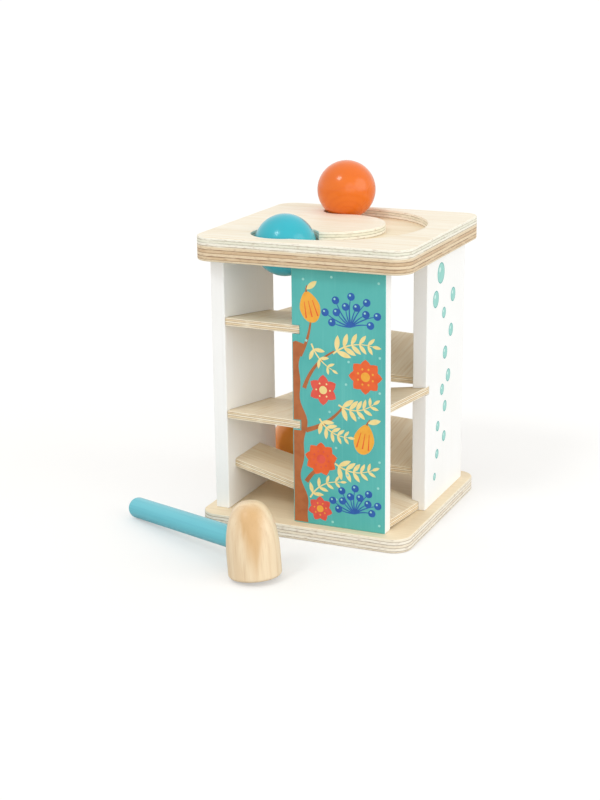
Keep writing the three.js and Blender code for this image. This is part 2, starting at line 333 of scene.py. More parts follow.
def board_ply(name, bottom, thickness, lines, face, grain):
    """Plywood that lies flat: grain on its faces and its plies round the edge."""
    finish = Finish(name, specular_ior_level=0.35)
    point = finish.place()
    top, pores = veneer(finish, point, face, grain, 0.85)
    level = (finish.split(point)[2] * 1000.0 - bottom) / thickness
    edge = sawn_edge(finish, point, level, lines, paint(158, 122, 90))
    return finish.done(face_or_edge(finish, edge, top), pores * 0.12 + 0.44, pores, 0.12)


def plank_ply():
    """Thin plank plywood: its four glue lines follow the plank's own thickness."""
    finish = Finish("plank_ply", specular_ior_level=0.35)
    point = finish.place()
    top, pores = veneer(finish, point, paint(249, 237, 213), paint(230, 206, 168), 1.0)
    level = (finish.split(point)[2] * 1000.0) / plank_thickness + 1.0
    pale, band, glue = (248, 238, 216), (236, 216, 180), (158, 120, 82)
    glue_lines = [(height, 0.045, glue) for height in (0.18, 0.42, 0.64, 0.86)]
    lines = plies([pale, band, pale, band, pale], glue_lines)
    edge = sawn_edge(finish, point, level, lines, paint(196, 164, 122))
    return finish.done(face_or_edge(finish, edge, top), pores * 0.12 + 0.45, pores, 0.12)


def white_paint():
    """Sprayed white on plywood, with the grain just telegraphing through."""
    finish = Finish("white_paint", specular_ior_level=0.4)
    point = finish.place()
    grain = finish.noise(finish.stretched(point, 420.0, 420.0, 12.0), detail=3.0)
    cloud = finish.noise(point, 22.0, detail=2.0)
    tone = finish.mix(cloud.fade(0.35, 0.7), paint(254, 254, 254), paint(251, 251, 250))
    tone = finish.mix(grain.fade(0.5, 0.8) * 0.4, tone, paint(246, 245, 243))
    return finish.done(tone, grain * 0.1 + 0.4, grain, 0.1)


def printed_ground():
    """The front panel: turquoise ink on the face, white paint round the edges."""
    finish = Finish("printed_ground", specular_ior_level=0.4)
    point = finish.place()
    grain = finish.noise(finish.stretched(point, 420.0, 420.0, 12.0), detail=3.0)
    cloud = finish.noise(point, 30.0, detail=3.0)
    ink = finish.mix(cloud.fade(0.35, 0.7), paint(92, 187, 182), paint(82, 179, 175))
    ink = finish.mix(grain.fade(0.5, 0.8) * 0.3, ink, paint(120, 205, 199))
    white = finish.mix(cloud, paint(254, 254, 254), paint(251, 251, 250))
    forward = finish.split(point)[1] * -1000.0
    front = forward.fade(outer_plane - 0.5, outer_plane - 0.25)
    return finish.done(finish.mix(front, white, ink), grain * 0.1 + 0.36, grain, 0.08)


def print_ink(name, colour, deep):
    """One ink of the print, slightly uneven as silk-screened ink is."""
    finish = Finish(name, specular_ior_level=0.4)
    cloud = finish.noise(finish.place(), 160.0, detail=3.0)
    tone = finish.mix(cloud.fade(0.4, 0.75) * 0.7, colour, deep)
    return finish.done(tone, cloud * 0.1 + 0.36, cloud, 0.05, 0.0002)


def ball_paint(name, colour, deep):
    """Glossy paint on a turned ball, the wood's rings just showing through."""
    finish = Finish(name, coat_weight=0.5, coat_roughness=0.14, specular_ior_level=0.25)
    tilted = finish.node("ShaderNodeVectorRotate", {"rotation_type": "AXIS_ANGLE"}, {
        "Vector": finish.place(), "Axis": (0.8, 0.5, 0.3), "Angle": 0.9,
    })
    wander = finish.noise(finish.stretched(tilted, 30.0, 30.0, 8.0), detail=2.0)
    across, along = finish.split(tilted)[:2]
    radius = (across * across + along * along).root()
    rings = ((radius * 1500.0 + wander * 9.0).sine() * 0.5 + 0.5) ** 2.0
    tone = finish.mix(rings * 0.16, colour, deep)
    return finish.done(tone, wander * 0.08 + 0.24, rings, 0.06, 0.0002)


def turned_wood(stance):
    """The head's beech: upright grain, with a honey brown arch of figure down one face."""
    finish = Finish("head_wood", coat_weight=0.15, coat_roughness=0.3, specular_ior_level=0.4)
    point = finish.place(stance)
    x, y, z = finish.split(point)
    depth = (y * 0.58 - x * 0.82) * 1000.0
    across = (x * 0.58 + y * 0.82) * 1000.0
    figure = finish.noise(finish.stretched(point, 90.0, 90.0, 14.0), detail=3.0, distortion=0.6)
    rings = ((depth * 0.9 + figure * 14.0).sine() * 0.5 + 0.5) ** 1.5
    pores = finish.noise(finish.stretched(point, 900.0, 900.0, 45.0), detail=3.0)
    arch = abs(across + (figure - 0.5) * 14.0) - z * 300.0
    heart = depth.fade(3.0, 13.0) * (1.0 - arch.fade(-9.0, 2.0))
    tone = finish.mix(heart * 0.9, paint(240, 218, 184), paint(214, 172, 118))
    tone = finish.mix(rings * 0.22, tone, paint(206, 166, 116))
    tone = finish.mix(pores.fade(0.5, 0.8) * 0.3, tone, paint(196, 156, 108))
    return finish.done(tone, pores * 0.12 + 0.34, pores, 0.1)


def handle_paint(stance):
    """Blue-green satin paint on the handle, along its own grain."""
    finish = Finish("handle_paint", coat_weight=0.3, coat_roughness=0.2)
    point = finish.place(stance)
    grain = finish.noise(finish.stretched(point, 12.0, 500.0, 500.0), detail=3.0)
    tone = finish.mix(grain.fade(0.4, 0.75) * 0.5, paint(98, 195, 211), paint(80, 180, 200))
    return finish.done(tone, grain * 0.12 + 0.3, grain, 0.08)


def ring_rubber():
    """Matt dark rubber of the ring in the hole."""
    finish = Finish("ring_rubber")
    grit = finish.noise(finish.place(), 1400.0, detail=3.0)
    tone = finish.mix(grit * 0.5, paint(46, 48, 50), paint(62, 64, 66))
    return finish.done(tone, grit * 0.15 + 0.75, grit, 0.15, 0.0002)


def screw_steel():
    """Zinc-plated screws, a little uneven."""
    finish = Finish("screw_steel", metallic=1.0)
    wipe = finish.noise(finish.place(), 900.0, detail=3.0)
    tone = finish.mix(wipe, paint(198, 200, 204), paint(168, 171, 176))
    return finish.done(tone, wipe * 0.2 + 0.25, wipe, 0.05, 0.0002)


def dowel_wood():
    """Plain beech dowels."""
    finish = Finish("dowel_wood")
    point = finish.place()
    pores = finish.noise(finish.stretched(point, 900.0, 900.0, 60.0), detail=3.0)
    tone = finish.mix(pores, paint(226, 200, 156), paint(206, 172, 124))
    return finish.done(tone, pores * 0.1 + 0.6, pores, 0.1)


def hammer_stance():
    """The hammer leans on its handle's end and on the rounded rim of the head's flat end."""
    edge, end = head_radius - head_rounding, handle_reach - handle_rounding
    rise = handle_height - handle_radius + handle_rounding - head_rounding
    run = end - edge
    narrowing = (handle_rounding - head_rounding) / math.hypot(run, rise)
    tilt = math.atan2(rise, run) - math.asin(narrowing)
    lift = head_rounding * (1 - math.cos(tilt)) + edge * math.sin(tilt)
    stand = Matrix.Translation(Vector((hammer_x, hammer_y, lift)) / 1000)
    return stand @ Matrix.Rotation(hammer_heading, 4, "Z") @ Matrix.Rotation(tilt, 4, "Y")


base_plies = plies(
    [(238, 226, 204), (247, 240, 226), (241, 230, 210), (248, 241, 227), (244, 235, 216)],
    [(0.15, 0.03, (138, 113, 88)), (0.36, 0.03, (150, 124, 98)),
     (0.58, 0.03, (142, 116, 91)), (0.79, 0.03, (160, 136, 108))],
)
lower_plies = plies(
    [(234, 217, 186), (217, 191, 155), (234, 213, 180), (214, 186, 150), (234, 214, 182)],
    [(0.16, 0.035, (150, 108, 78)), (0.37, 0.045, (120, 72, 50)),
     (0.60, 0.035, (154, 116, 88)), (0.82, 0.04, (132, 94, 70))],
)
upper_plies = plies(
    [(236, 224, 199), (248, 244, 230), (237, 235, 217), (248, 244, 230)],
    [(0.12, 0.045, (152, 126, 99)), (0.42, 0.045, (158, 156, 134)),
     (0.72, 0.045, (166, 162, 138))],
)
base_face, lower_face, upper_face = paint(244, 227, 196), paint(245, 233, 208), paint(246, 240, 225)
board_grain, lower_grain = paint(232, 212, 178), paint(228, 206, 168)
finishes = {
    "base_ply": board_ply("base_ply", 0, base_thickness, base_plies, base_face, board_grain),
    "lower_ply": board_ply("lower_ply", panel_top, upper_bottom - panel_top, lower_plies,
                           lower_face, lower_grain),
    "upper_ply": board_ply("upper_ply", upper_bottom, tower_height - upper_bottom, upper_plies,
                           upper_face, board_grain),
    "plank_ply": plank_ply(),
    "white_paint": white_paint(),
    "printed_ground": printed_ground(),
    "head_wood": turned_wood(hammer_stance()),
    "handle_paint": handle_paint(hammer_stance()),
    "rubber_ring": ring_rubber(),
    "screw_steel": screw_steel(),
    "dowel_wood": dowel_wood(),
}
for tinted, name, colour, deep in [
    (ball_paint, "turquoise_paint", (46, 178, 196), (26, 160, 174)),
    (ball_paint, "orange_paint", (231, 112, 14), (214, 88, 8)),
    (ball_paint, "amber_paint", (246, 156, 60), (232, 136, 44)),
    (print_ink, "bark_ink", (184, 108, 62), (166, 92, 50)),
    (print_ink, "blue_ink", (46, 98, 178), (34, 82, 160)),
    (print_ink, "cream_ink", (248, 226, 158), (240, 212, 136)),
    (print_ink, "gold_ink", (246, 178, 66), (238, 160, 50)),
    (print_ink, "orange_ink", (238, 104, 52), (226, 88, 40)),
    (print_ink, "coral_ink", (232, 92, 76), (216, 76, 62)),
    (print_ink, "foam_ink", (156, 218, 210), (144, 208, 200)),
    (print_ink, "rim_ink", (84, 176, 170), (72, 164, 160)),
    (print_ink, "shine_ink", (214, 242, 238), (204, 236, 232)),
]:
    finishes[name] = tinted(name, paint(*colour), paint(*deep))


# Solid shapes


def put(name, data):
    """A new object in the scene."""
    obj = bpy.data.objects.new(name, data)
    bpy.context.scene.collection.objects.link(obj)
    return obj


def piece_from(name, shape, finish, body="tower", place=None):
    """Puts a finished shape in the scene. Its points are in metres on the piece itself."""
    mesh = bpy.data.meshes.new(name)
    bmesh.ops.recalc_face_normals(shape, faces=shape.faces)
    shape.to_mesh(mesh)
    shape.free()
    obj = put(name, mesh)
    mesh.materials.append(finishes[finish])
    if place is not None:
        obj.matrix_world = place
    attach(obj, body)
    return obj


def flush(obj, angle=50):
    """Eased edges shade round while the flat faces stay flat."""
    obj.data.shade_smooth()
    obj.data.set_sharp_from_angle(angle=math.radians(angle))
    weighted = obj.modifiers.new("flat_faces", "WEIGHTED_NORMAL")
    weighted.keep_sharp = True
    weighted.weight = 100


def arc(x, y, radius, start, end, steps):
    """Points on an arc in millimetres, both ends included."""
    angles = [start + (end - start) * step / steps for step in range(steps + 1)]
    return [Vector((x + radius * math.cos(a), y + radius * math.sin(a))) for a in angles]


def circle(x, y, radius, steps):
    return arc(x, y, radius, 0, 2 * math.pi, steps)[:-1]


def quarter(steps):
    """The angles of a quarter turn in equal steps, without its start."""
    return [step / steps * math.pi / 2 for step in range(1, steps + 1)]


def rounded_square(side, corner):
    near, outline = side / 2 - corner, []
    for turns, (x, y) in enumerate([(1, 1), (-1, 1), (-1, -1), (1, -1)]):
        start = turns * math.pi / 2
        outline += arc(x * near, y * near, corner, start, start + math.pi / 2, corner_steps)
    return outline


def shifted(outline, distance):
    """The outline with every corner moved to its left along the mitre."""
    moved = []
    for i, corner in enumerate(outline):
        before = (corner - outline[i - 1]).normalized()
        after = (outline[(i + 1) % len(outline)] - corner).normalized()
        left, right = Vector((-before.y, before.x)), Vector((-after.y, after.x))
        moved.append(corner + (left + right) * distance / (1 + left.dot(right)))
    return moved


def easing(radius):
    """Quarter round as (shift into the wood, drop from the face) pairs, face side last."""
    angles = [0, *quarter(easing_steps)]
    return [(radius * (1 - math.cos(a)), radius * (1 - math.sin(a))) for a in angles]


def edge_profile(bottom, top, ease_bottom=0, ease_top=0):
    """An edge from the lower face to the upper one, each end eased or sharp."""
    low, high = [(0, bottom)], [(0, top)]
    if ease_bottom:
        low = [(shift, bottom + drop) for shift, drop in reversed(easing(ease_bottom))]
    if ease_top:
        high = [(shift, top - drop) for shift, drop in easing(ease_top)]
    return low + high


def corners_at(shape, outline, height):
    """The outline as a ring of the shape's corners, from millimetres to metres."""
    return [shape.verts.new((p.x / 1000, p.y / 1000, height / 1000)) for p in outline]


def skirt(shape, lower, upper):
    """The wall between two rings."""
    for i, corner in enumerate(lower):
        after = (i + 1) % len(lower)
        shape.faces.new((corner, lower[after], upper[after], upper[i]))


def plate(walls, pockets=()):
    """A flat board. walls pairs each outline (holes run clockwise) with its edge profile, and
    pockets are blind holes from below with the height of their ends."""
    shape = bmesh.new()

    def cap(rings):
        flat = [vert for one in rings for vert in one]
        for triangle in tessellate_polygon([[vert.co for vert in one] for one in rings]):
            shape.faces.new([flat[index] for index in triangle])

    lows, highs = [], []
    for outline, profile in walls:
        rings = [corners_at(shape, shifted(outline, shift), height) for shift, height in profile]
        for lower, upper in zip(rings, rings[1:]):
            skirt(shape, lower, upper)
        lows.append(rings[0])
        highs.append(rings[-1])
    bottom = walls[0][1][0][1]
    for outline, end in pockets:
        mouth, closed = corners_at(shape, outline, bottom), corners_at(shape, outline, end)
        skirt(shape, mouth, closed)
        lows.append(mouth)
        cap([closed])
    cap(lows)
    cap(highs)
    return shape


def lathe(profile, steps):
    """A turned shape about its own Z, from (radius, height) points. Radius 0 closes an end."""
    shape = bmesh.new()
    rings = []
    for radius, height in profile:
        outline = circle(0, 0, radius, steps) if radius else [Vector((0, 0))]
        rings.append(corners_at(shape, outline, height))
    for lower, upper in zip(rings, rings[1:]):
        for i in range(steps):
            j = (i + 1) % steps
            corners = [lower[i % len(lower)], lower[j % len(lower)]]
            corners += [upper[j % len(upper)], upper[i % len(upper)]]
            shape.faces.new(list(dict.fromkeys(corners)))
    return shape


def sawn(corners, ease):
    """A board from its corners, a lower and an upper point each, with every edge eased."""
    shape = bmesh.new()
    lower = [shape.verts.new(corner) for corner, _ in corners]
    upper = [shape.verts.new(corner) for _, corner in corners]
    shape.faces.new(list(reversed(lower)))
    shape.faces.new(upper)
    skirt(shape, lower, upper)
    if ease:
        bmesh.ops.bevel(
            shape, geom=shape.edges[:], offset=ease / 1000, offset_type="OFFSET",
            segments=easing_steps, profile=0.5, affect="EDGES", clamp_overlap=True,
        )
    return shape


# The tower's boards


def fastener_places():
    """Where the screws and dowels stand, two in each panel."""
    across = (outer_plane + inner_plane) / 2
    return [Matrix.Rotation(turn, 2) @ Vector((along, across))
            for turn, start, end in sides.values()
            for along in (start + fastener_margin, end - fastener_margin)]


def hole(x, y, radius, steps):
    """A round hole, which runs clockwise as every hole in a board does."""
    return circle(x, y, radius, steps)[::-1]


def drilled(radius):
    """A small hole at the place of each screw or dowel."""
    return [hole(place.x, place.y, radius, drill_steps) for place in fastener_places()]


def base_board():
    """The base: eased all round, with countersunk screw holes from below."""
    flare = screw_mouth - screw_clearance
    sink = [(flare, 0), (0, screw_head_depth), (0, base_thickness)]
    walls = [(rounded_square(board_side, board_corner),
              edge_profile(0, base_thickness, board_easing, board_easing))]
    walls += [(outline, sink) for outline in drilled(screw_clearance)]
    board = piece_from("base_plate", plate(walls), "base_ply")
    flush(board)
    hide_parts("base_board")


def lower_top_board():
    """The top's lower layer: the ball's hole over the ring's wider seat, and dowel sockets."""
    seat = ring_radius + fit - hole_radius
    shelf = panel_top + ring_thickness + fit
    walls = [
        (rounded_square(board_side, board_corner),
         edge_profile(panel_top, upper_bottom, ease_bottom=board_easing)),
        (hole(hole_x, hole_y, hole_radius, bore_steps),
         [(seat, panel_top), (seat, shelf), (0, shelf), (0, upper_bottom)]),
    ]
    pockets = [(outline, dowel_socket_top) for outline in drilled(dowel_socket)]
    board = piece_from("top_lower_layer", plate(walls, pockets), "lower_ply")
    flush(board)
    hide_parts("lower_top_board")


def groove_outline():
    """The hole and the groove it opens into, as one cut-out, counterclockwise."""
    gap = Vector((hole_x - groove_x, hole_y - groove_y))
    span = gap.length
    outer_steps, inner_steps, end_steps = 72, 56, 24

    def meeting(radius):
        """Where the hole's edge crosses one of the groove's edges, as seen from the groove."""
        turn = math.acos((span ** 2 + radius ** 2 - hole_radius ** 2) / (2 * span * radius))
        angle = math.atan2(gap.y, gap.x) + turn
        return Vector((math.cos(angle), math.sin(angle))) * radius, angle

    outer_point, outer_angle = meeting(groove_outer)
    inner_point, inner_angle = meeting(groove_inner)
    middle = (groove_inner + groove_outer) / 2
    end_x = groove_x + middle * math.cos(groove_end)
    end_y = groove_y + middle * math.sin(groove_end)
    outline = arc(groove_x, groove_y, groove_outer, outer_angle, groove_end, outer_steps)
    outline += arc(end_x, end_y, (groove_outer - groove_inner) / 2, groove_end,
                   groove_end + math.pi, end_steps)[1:]
    outline += arc(groove_x, groove_y, groove_inner, groove_end, inner_angle, inner_steps)[1:]
    from_hole = [point - gap for point in (inner_point, outer_point)]
    start, end = [math.atan2(point.y, point.x) for point in from_hole]
    end += 2 * math.pi * (end < start)
    outline += arc(hole_x, hole_y, hole_radius, start, end, inner_steps)[1:-1]
    return outline


def upper_top_board():
    """The top's upper layer, with the groove and the hole cut right through it."""
    walls = [
        (rounded_square(board_side, board_corner),
         edge_profile(upper_bottom, tower_height, ease_top=board_easing)),
        (groove_outline()[::-1],
         edge_profile(upper_bottom, tower_height, ease_top=rim_easing)),
    ]
    board = piece_from("top_upper_layer", plate(walls), "upper_ply")
    flush(board)
    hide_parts("upper_top_board")


def hole_ring():
    """The rubber ring that grips the ball: a narrow lip that widens to the hole above it."""
    profile = [
        (ring_radius, 0), (ring_radius, ring_thickness), (hole_radius, ring_thickness),
        (ring_bore, ring_lip), (ring_bore, 0), (ring_radius, 0),
    ]
    shape = lathe(profile, turned_steps)
    bmesh.ops.remove_doubles(shape, verts=shape.verts, dist=1e-6)
    place = Matrix.Translation(Vector((hole_x, hole_y, panel_top)) / 1000)
    ring = piece_from("grip_ring", shape, "rubber_ring", place=place)
    flush(ring, 30)
    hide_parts("hole_ring")


# Planks, ramp and panels


def plank_turn(index):
    """How far the side that a plank lies along is turned from the back."""
    return sides[side_order[index % 4]][0]


def plank_height(index):
    """The height of a plank's top at its high end."""
    return first_plank_height - index * plank_drop


def plank_corners(index, grow, reach):
    """A plank's corners in its side's frame, in millimetres. grow and reach make it the cutter
    for its housing and for the notch that its high end passes through."""
    start, end = sides[side_order[index % 4]][1:]
    before = sides[side_order[index % 4 - 1]][2]
    near, far = before - plank_lap, inner_plane + plank_housing
    left, right = -outer_plane, end - plank_lap - plank_gap
    stop = start + housing_stop
    outline = [
        (left - reach, near - grow), (right + grow, near - grow), (right + grow, far + grow),
        (stop - grow, far + grow), (stop - grow, inner_plane - fit + grow),
        (start - reach, inner_plane - fit + grow),
    ]
    return sloped(outline, left, plank_height(index), plank_fall, grow)


def ramp_corners(grow):
    """The exit ramp's corners in the front side's frame: it widens towards its foot."""
    near, far = flank_end - plank_lap, inner_plane - ramp_set_back
    outline = [
        (ramp_foot - grow, near - grow), (ramp_head + grow, near - grow),
        (ramp_head + grow, far + grow), (face_start - grow, inner_plane - fit + grow),
    ]
    return sloped(outline, ramp_foot, ramp_low, ramp_slope, grow)


def sloped(outline, start, height, slope, grow):
    """A lower and an upper point for each corner of a board that has this height at start."""
    depth = plank_thickness * math.hypot(1, slope)
    corners = []
    for x, y in outline:
        top = height + (x - start) * slope
        corners.append(((x, y, top - depth - grow), (x, y, top + grow)))
    return corners


def plank(name, corners, turn, start, height, slope, strip):
    """One plank. Its own X runs along its grain, and strip says where its veneer was cut."""
    place = Matrix.Rotation(turn, 4, "Z") @ Matrix.Translation((start / 1000, 0, height / 1000))
    place = place @ Matrix.Rotation(-math.atan(slope), 4, "Y") @ Matrix.Translation((-strip, 0, 0))
    flat = (Matrix.Rotation(-turn, 4, "Z") @ place).inverted()
    own = [[flat @ (Vector(point) / 1000) for point in pair] for pair in corners]
    shape = sawn(own, plank_easing)
    board = piece_from(f"{name}_board", shape, "plank_ply", place=place)
    flush(board)
    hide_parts(name)


def planks():
    """Seven planks and the ramp, each from its own strip of one long veneer."""
    strip, ramp_strip = 0.21, 2.1
    for index, name in enumerate(plank_names):
        plank(name, plank_corners(index, 0, 0), plank_turn(index), -outer_plane,
              plank_height(index), plank_fall, strip * (index + 1))
    plank("exit_ramp", ramp_corners(0), ramp_turn, ramp_foot, ramp_low, ramp_slope, ramp_strip)


def housings():
    """The cutter for every housing and notch: all the planks and the ramp, a little larger."""
    cutter = bmesh.new()
    boards = [(plank_turn(index), plank_corners(index, fit, overrun))
              for index in range(len(plank_names))]
    boards.append((ramp_turn, ramp_corners(fit)))
    for turn, corners in boards:
        spin = Matrix.Rotation(turn, 3, "Z")
        placed = [[spin @ (Vector(point) / 1000) for point in pair] for pair in corners]
        one = sawn(placed, 0)
        mesh = bpy.data.meshes.new("housing")
        one.to_mesh(mesh)
        one.free()
        cutter.from_mesh(mesh)
        bpy.data.meshes.remove(mesh)
    mesh = bpy.data.meshes.new("housings")
    bmesh.ops.recalc_face_normals(cutter, faces=cutter.faces)
    cutter.to_mesh(mesh)
    cutter.free()
    return bpy.data.objects.new("housings", mesh)


def cut(board, cutter):
    """Takes the cutter out of the board and keeps the result as the board's mesh."""
    bpy.context.scene.collection.objects.link(cutter)
    carve = board.modifiers.new("cut", "BOOLEAN")
    carve.operation, carve.solver, carve.object = "DIFFERENCE", "EXACT", cutter
    bpy.context.view_layer.update()
    graph = bpy.context.evaluated_depsgraph_get()
    result = bpy.data.meshes.new_from_object(board.evaluated_get(graph))
    board.modifiers.remove(carve)
    plain, board.data = board.data, result
    bpy.data.meshes.remove(plain)
    bpy.context.scene.collection.objects.unlink(cutter)


def panels():
    """The four upright panels, eased first and then cut for the planks."""
    cutter = housings()
    for side, panel in zip(side_order, ["left_wall", "back_panel", "right_wall", "front_panel"]):
        turn, start, end = sides[side]
        spin = Matrix.Rotation(turn, 3, "Z")
        outline = [(start, inner_plane), (end, inner_plane),
                   (end, outer_plane), (start, outer_plane)]
        corners = [[spin @ (Vector((x, y, z)) / 1000) for z in (base_thickness, panel_top)]
                   for x, y in outline]
        finish = "printed_ground" if side == "front" else "white_paint"
        board = piece_from(f"{panel}_board", sawn(corners, panel_easing), finish)
        cut(board, cutter)
        flush(board)
        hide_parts(panel)
    bpy.data.objects.remove(cutter)


# Print on the front panel and bubbles on the right wall


def dot(x, z, radius, steps=20):
    """A round spot."""
    return [(x + radius * math.cos(a), z + radius * math.sin(a))
            for a in (2 * math.pi * step / steps for step in range(steps))]


def leaf(x, z, length, width, angle):
    """A pointed leaf that grows from (x, z) at an angle."""
    steps = 7
    along = [step / steps for step in range(steps + 1)]
    edge = [(length * t, width / 2 * math.sin(math.pi * t) ** 0.8) for t in along]
    edge += [(length * t, -width / 2 * math.sin(math.pi * t) ** 0.8) for t in reversed(along[1:-1])]
    turn = Matrix.Rotation(math.radians(angle), 2)
    return [tuple(turn @ Vector(point) + Vector((x, z))) for point in edge]


def twig(points, width):
    """A strip along the points that thins towards its end."""
    left, right = [], []
    for i, (x, z) in enumerate(points):
        ahead = Vector(points[min(i + 1, len(points) - 1)]) - Vector(points[max(i - 1, 0)])
        side = Vector((-ahead.y, ahead.x)).normalized()
        half = width / 2 * (1 - 0.6 * i / (len(points) - 1))
        left.append((x + side.x * half, z + side.y * half))
        right.append((x - side.x * half, z - side.y * half))
    return left + right[::-1]


def bow(start, end, sag, steps=12):
    """Points on a gentle curve from start to end."""
    start, end = Vector(start), Vector(end)
    side = Vector((start.y - end.y, end.x - start.x)) * sag
    shares = [step / steps for step in range(steps + 1)]
    return [tuple(start.lerp(end, t) + side * 4 * t * (1 - t)) for t in shares]


def spray(start, end, sag, leaves, size, ink):
    """A stem with pairs of leaves and one at its tip."""
    slimness, splay = 0.34, 52
    stem = bow(start, end, sag, 2 * leaves)
    shapes = [(twig(stem, 1.3), ink)]
    for pair in range(leaves):
        (x, z), (nx, nz) = stem[2 * pair + 1], stem[2 * pair + 2]
        heading = math.degrees(math.atan2(nz - z, nx - x))
        length = size * (1 - 0.45 * pair / leaves)
        for angle in (heading + splay, heading - splay):
            shapes.append((leaf(x, z, length, length * slimness, angle), ink))
    shapes.append((leaf(*stem[-1], size * 0.6, size * 0.22, heading), ink))
    return shapes


def berries(x, z, reach, count, ink):
    """A fan of short twigs, each with a round berry and a pale spot on it."""
    lowest, spread, short, berry = 8, 164, 0.68, 2.9
    shapes = []
    for number in range(count):
        angle = math.radians(lowest + spread * number / (count - 1))
        length = reach * (1.0 if number % 2 else short)
        tip = (x + length * math.cos(angle), z + length * math.sin(angle))
        shapes.append((twig(bow((x, z), tip, 0.06), 1.2), ink))
        shapes.append((dot(*tip, berry), ink))
        shapes.append((dot(tip[0] - 0.8, tip[1] + 0.9, 0.8, 12), "foam_ink"))
    return shapes


def blossom(x, z, radius, petals, ink, heart):
    """A round flower: petals, a heart and a ring of stamens."""
    shapes = []
    for petal in range(petals):
        angle = 360 * petal / petals + 90
        shapes.append((leaf(x, z, radius, radius * 0.72, angle), ink))
    shapes.append((dot(x, z, radius * 0.42), ink))
    shapes.append((dot(x, z, radius * 0.27), heart))
    for stamen in range(petals):
        angle = math.radians(360 * (stamen + 0.5) / petals + 90)
        place = (x + radius * 0.47 * math.cos(angle), z + radius * 0.47 * math.sin(angle))
        shapes.append((dot(*place, radius * 0.06, 10), heart))
    return shapes


def pear(x, z, size, lean):
    """A yellow pear with orange stripes, a stalk and one leaf."""
    turn = Matrix.Rotation(math.radians(lean), 2)

    def at(px, pz):
        return tuple(turn @ Vector((px * size, pz * size)) + Vector((x, z)))

    body, steps = [], 28
    for step in range(steps):
        a = 2 * math.pi * step / steps
        waist = 1 - 0.34 * max(0.0, math.sin(a)) ** 1.2
        body.append(at(0.62 * waist * math.cos(a), 0.9 * math.sin(a)))
    shapes = [(body, "gold_ink")]
    for across in (-0.3, 0.0, 0.3):
        stripe = [at(across * (1 - 0.25 * t), 0.62 * t - 0.08) for t in (-0.8, -0.3, 0.2, 0.7)]
        shapes.append((twig(stripe, size * 0.09), "orange_ink"))
    shapes.append((twig([at(0, 0.86), at(0.05, 1.05), at(0.14, 1.22)], size * 0.12), "bark_ink"))
    shapes.append((leaf(*at(0.05, 1.0), size * 0.8, size * 0.32, lean + 25), "cream_ink"))
    return shapes


def trunk():
    """A tree trunk up the panel's left edge, clear of the plank end let into that edge."""
    left, notch = panel_easing - face_end, panel_easing + plank_lap - face_end
    foot, crown = base_thickness + 1, 150
    clear_below, clear_above = 1.2, 0.8
    plank_top = plank_height(plank_names.index("left_plank_2"))
    low, high = plank_top - plank_thickness - clear_below, plank_top + clear_above
    outline = [(left, foot), (left, low), (notch, low), (notch, high), (left, high), (left, crown)]
    outline.append((left + 2.4, crown + 1))
    steps = 40
    for step in range(steps + 1):
        z = crown - 1 + (foot + 1 - crown) * step / steps
        swell = 9.5 + 2.4 * math.sin(z / 11) + 1.3 * math.sin(z / 4.7 + 1) - (z - foot) * 0.024
        outline.append((left + swell, z))
    return outline


def front_print():
    """A fruit tree in flower, in seven inks: the trunk and its branches, then what grows there."""
    tree = [(trunk(), "bark_ink")]
    for start, end, sag, width in [
        ((3, 44), (26, 62), 0.10, 3.6), ((3, 84), (32, 104), -0.08, 3.8),
        ((2, 116), (26, 146), 0.10, 3.2), ((-1, 140), (8, 172), -0.06, 2.8),
    ]:
        tree.append((twig(bow(start, end, sag), width), "bark_ink"))
    drops = [
        (2, 197), (24, 200), (60, 198), (61, 174), (25, 168), (37, 139), (61, 144), (4, 152),
        (35, 122), (61, 118), (22, 100), (45, 98), (27, 73), (61, 66), (36, 53), (60, 46),
        (24, 15), (61, 17), (27, 33),
    ]
    return [
        tree,
        berries(39, 165, 22, 11, "blue_ink"),
        pear(7, 177, 13, 14),
        spray((25, 144), (55, 152), 0.12, 5, 12, "cream_ink"),
        spray((8, 150), (24, 132), -0.1, 3, 9, "cream_ink"),
        blossom(50, 129, 13, 8, "orange_ink", "gold_ink"),
        blossom(17, 116, 11.5, 6, "coral_ink", "cream_ink"),
        spray((29, 106), (56, 109), -0.16, 5, 11, "cream_ink"),
        spray((14, 94), (36, 82), -0.14, 5, 10, "cream_ink"),
        pear(49, 82, 13, -10),
        spray((26, 61), (55, 59), -0.14, 5, 11, "cream_ink"),
        blossom(15, 63, 13, 9, "orange_ink", "coral_ink"),
        berries(42, 24, 19.5, 11, "blue_ink"),
        spray((6, 32), (30, 47), 0.14, 4, 9, "cream_ink"),
        blossom(14, 24, 10, 7, "coral_ink", "gold_ink"),
        [(dot(x, z, 1.0, 12), "foam_ink") for x, z in drops],
    ]


def printed(name, motifs, skin):
    """Motifs of flat ink shapes, each shape one film of ink above the last, and all the motifs
    above the first. skin turns (x, z, lift) into a point."""
    inks = list(dict.fromkeys(ink for motif in motifs for _, ink in motif))
    mesh = bpy.data.meshes.new(name)
    sheet = bmesh.new()
    for index, motif in enumerate(motifs):
        # Neighbours lie a third of a film apart, so that no two share a plane
        under = (len(motifs[0]) + index % 3 / 3) if index else 0
        for number, (outline, ink) in enumerate(motif):
            lift = ink_lift + ink_film * (number + under)
            verts = [sheet.verts.new(Vector(skin(x, z, lift)) / 1000) for x, z in outline]
            for triangle in tessellate_polygon([[vert.co for vert in verts]]):
                face = sheet.faces.new([verts[corner] for corner in triangle])
                face.material_index = inks.index(ink)
    outward = Vector(skin(0, 0, 1)) - Vector(skin(0, 0, 0))
    sheet.normal_update()
    for face in sheet.faces:
        if face.normal.dot(outward) < 0:
            face.normal_flip()
    sheet.to_mesh(mesh)
    sheet.free()
    obj = put(name, mesh)
    for ink in inks:
        mesh.materials.append(finishes[ink])
    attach(obj, "tower")


